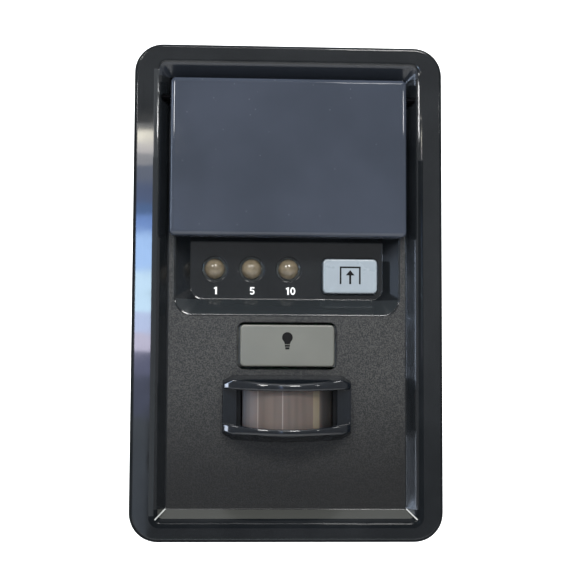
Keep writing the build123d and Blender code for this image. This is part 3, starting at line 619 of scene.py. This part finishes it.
ROW_LEGS, ROW_PITCH, ROW_REACH = 6, 1.27, 2.5
row_x, row_z = AMPLIFIER_PLACE
row_legs = []
for step in range(ROW_LEGS):
    shift = (step - (ROW_LEGS - 1) / 2) * ROW_PITCH
    for side in (-1, 1):
        row_legs.append(chip_leg(row_x + side * ROW_REACH, row_z + shift, "X"))
merged("amplifier_legs", row_legs)

# Copper winding in the choke's groove
WIRE_RADIUS = 0.22
TURNS, POINTS_A_TURN = 12, 8
COIL_RADIUS, COIL_START, COIL_LENGTH = 3.15, 9.0, 5.1
coil = bpy.data.curves.new("choke_winding", "CURVE")
coil.dimensions = "3D"
coil.bevel_depth = WIRE_RADIUS * MM
coil.bevel_resolution = 2
spline = coil.splines.new("NURBS")
coil_points = TURNS * POINTS_A_TURN
spline.points.add(coil_points - 1)
for number, point in enumerate(spline.points):
    angle = 2 * math.pi / POINTS_A_TURN * number
    depth = COIL_START + COIL_LENGTH * number / coil_points
    point.co = (
        (CHOKE_PLACE[0] + COIL_RADIUS * math.cos(angle)) * MM,
        -depth * MM,
        (CHOKE_PLACE[1] + COIL_RADIUS * math.sin(angle)) * MM,
        1.0,
    )
spline.order_u = 3
spline.use_endpoint_u = True
add_piece("choke_winding", coil, copper_look, "housing")


# Stage: a pale room with soft light
def room_plane(name, corners, look):
    """A large plane that belongs to the stage."""
    mesh = bpy.data.meshes.new(name)
    mesh.from_pydata(corners, [], [(0, 1, 2, 3)])
    made = bpy.data.objects.new(name, mesh)
    bpy.context.scene.collection.objects.link(made)
    made.data.materials.append(look.material)


floor_look = Look("floor_pale", (0.6, 0.6, 0.6, 1.0), 0.8)
wall_look = Look("backdrop_white", (0.92, 0.92, 0.92, 1.0), 0.8)
wall_look.set("Emission Color", (1.0, 1.0, 1.0, 1.0))
wall_look.set("Emission Strength", 0.75)
FLOOR_Z, FLOOR_FRONT, WALL_Y, ROOM_HALF = -0.35, -1.6, 0.8, 3.0
room_plane(
    "floor",
    [
        (-ROOM_HALF, FLOOR_FRONT, FLOOR_Z),
        (ROOM_HALF, FLOOR_FRONT, FLOOR_Z),
        (ROOM_HALF, WALL_Y, FLOOR_Z),
        (-ROOM_HALF, WALL_Y, FLOOR_Z),
    ],
    floor_look,
)
room_plane(
    "backdrop",
    [
        (-ROOM_HALF, WALL_Y, FLOOR_Z),
        (ROOM_HALF, WALL_Y, FLOOR_Z),
        (ROOM_HALF, WALL_Y, ROOM_HALF),
        (-ROOM_HALF, WALL_Y, ROOM_HALF),
    ],
    wall_look,
)

# Soft surroundings, bright above the horizon and dim below it
SKY_START, SKY_END, SKY_DIM, SKY_BRIGHT = -0.12, 0.08, 0.3, 0.56
world = bpy.data.worlds.new("studio")
bpy.context.scene.world = world
world.use_nodes = True
sky_nodes, sky_links = world.node_tree.nodes, world.node_tree.links
background = sky_nodes["Background"]
background.inputs["Color"].default_value = (0.93, 0.96, 1.0, 1.0)
direction = sky_nodes.new("ShaderNodeSeparateXYZ")
sky_links.new(sky_nodes.new("ShaderNodeTexCoord").outputs["Generated"], direction.inputs["Vector"])
horizon = sky_nodes.new("ShaderNodeMapRange")
horizon.interpolation_type = "SMOOTHSTEP"
for socket, number in (
    ("From Min", SKY_START),
    ("From Max", SKY_END),
    ("To Min", SKY_DIM),
    ("To Max", SKY_BRIGHT),
):
    horizon.inputs[socket].default_value = number
sky_links.new(direction.outputs["Z"], horizon.inputs["Value"])
sky_links.new(horizon.outputs["Result"], background.inputs["Strength"])


def soft_light(name, place, target, width, height, colour, radiance):
    """A rectangular light of a given brightness that faces a target."""
    lamp = bpy.data.lights.new(name, "AREA")
    lamp.shape = "RECTANGLE"
    lamp.size, lamp.size_y = width, height
    lamp.color = colour
    lamp.energy = 4 * radiance * width * height
    made = bpy.data.objects.new(name, lamp)
    bpy.context.scene.collection.objects.link(made)
    place = Vector(place)
    facing = (Vector(target) - place).to_track_quat("-Z", "Y").to_matrix().to_4x4()
    made.matrix_world = Matrix.Translation(place) @ facing


# Window panes far in front, which the left side of the frame mirrors. Their right ends shift with the height
PANE_Y = -1.322
PANE_LEFT, PANE_RIGHT = -0.18, -0.108
PANE_SLANT, SLANT_MIDDLE = 0.03, 0.16
for name, bottom, top, colour in (
    ("pane_haze", 0.304, 0.312, (2.4, 2.4, 2.4)),
    ("pane_top", 0.286, 0.303, (15.4, 14.7, 12.6)),
    ("pane_cloud", 0.273, 0.286, (9.8, 9.3, 9.2)),
    ("pane_grey", 0.256, 0.273, (4.2, 4.25, 4.6)),
    ("pane_dusk", 0.234, 0.256, (1.7, 2.0, 2.8)),
    ("pane_dark", 0.206, 0.234, (1.0, 1.45, 2.9)),
    ("pane_deep", 0.19, 0.206, (0.9, 1.9, 4.4)),
    ("pane_blue", 0.169, 0.19, (2.6, 4.7, 10.5)),
    ("pane_bright", 0.118, 0.169, (6.8, 10.5, 17.1)),
    ("pane_pale", 0.064, 0.118, (10.3, 14.2, 17.8)),
    ("pane_mist", 0.037, 0.064, (8.6, 10.2, 14.7)),
    ("pane_rose", 0.013, 0.037, (9.3, 8.9, 11.6)),
    ("pane_low", -0.017, 0.013, (1.5, 1.6, 2.8)),
    ("pane_foot", -0.07, -0.017, (0.7, 0.8, 1.4)),
    ("pane_sill", -0.3, -0.07, (0.55, 0.65, 0.8)),
):
    height = (bottom + top) / 2
    right = PANE_RIGHT + PANE_SLANT * (height - SLANT_MIDDLE)
    middle = ((PANE_LEFT + right) / 2, PANE_Y, height)
    soft_light(name, middle, (middle[0], 0.0, height), right - PANE_LEFT, top - bottom, colour, 1.0)

# Two lights in front and above make the spots on the lamp domes. The small ones beside, above and at the
# corners draw the bright lines along the edges, and a broad soft light hangs overhead
for name, place, width, height, colour, radiance in (
    ("lamp_left", (-0.55, -0.95, 0.68), 0.24, 0.24, (1.0, 0.98, 0.95), 34.0),
    ("lamp_right", (0.22, -1.0, 0.7), 0.24, 0.24, (1.0, 0.99, 0.96), 34.0),
    ("side_right", (0.84, -1.0, 0.322), 0.09, 0.05, (1.0, 1.0, 1.0), 60.0),
    ("front_left", (-0.55, -0.95, 0.282), 0.1, 0.055, (1.0, 1.0, 1.0), 46.0),
    ("side_left", (-1.35, -0.15, 0.21), 0.1, 0.47, (0.62, 0.76, 1.0), 14.0),
    ("side_low", (-1.35, -0.15, -0.1), 0.1, 0.19, (0.75, 0.84, 1.0), 12.0),
    ("strip_top", (0.08, -1.0, 0.85), 0.5, 0.12, (1.0, 1.0, 1.0), 22.0),
    ("corner_left", (-0.9, -0.14, 0.9), 0.16, 0.16, (1.0, 1.0, 1.0), 18.0),
    ("corner_right", (0.9, -0.14, 0.9), 0.16, 0.16, (1.0, 1.0, 1.0), 18.0),
    ("overhead", (0, -0.1, 1.4), 1.2, 1.2, (0.97, 0.99, 1.0), 1.9),
):
    soft_light(name, place, (0, 0, 0), width, height, colour, radiance)

# Camera: a little below and to the left of the object, as in the photograph
CAMERA_PLACE = (-0.0142, -0.322, -0.0216)
FOCAL_PIXELS = 1233.5
SHIFT_RIGHT, SHIFT_UP = -0.8, 0.5
PITCH, YAW, ROLL = math.radians(-4.19), math.radians(2.74), math.radians(0.49)
camera_data = bpy.data.cameras.new("photo_camera")
camera_data.sensor_width = SENSOR
camera_data.lens = FOCAL_PIXELS / PHOTO_SIDE * SENSOR
camera_data.clip_start = 0.01
camera_data.shift_x, camera_data.shift_y = SHIFT_RIGHT / PHOTO_SIDE, SHIFT_UP / PHOTO_SIDE
camera = bpy.data.objects.new("photo_camera", camera_data)
bpy.context.scene.collection.objects.link(camera)
turned = Matrix.Rotation(YAW, 4, "Z") @ Matrix.Rotation(ROLL, 4, "Y") @ Matrix.Rotation(PITCH, 4, "X")
camera.matrix_world = (
    Matrix.Translation(CAMERA_PLACE) @ turned.inverted() @ Matrix.Rotation(math.pi / 2, 4, "X")
)
bpy.context.scene.camera = camera
bpy.context.scene.view_settings.view_transform = "Standard"
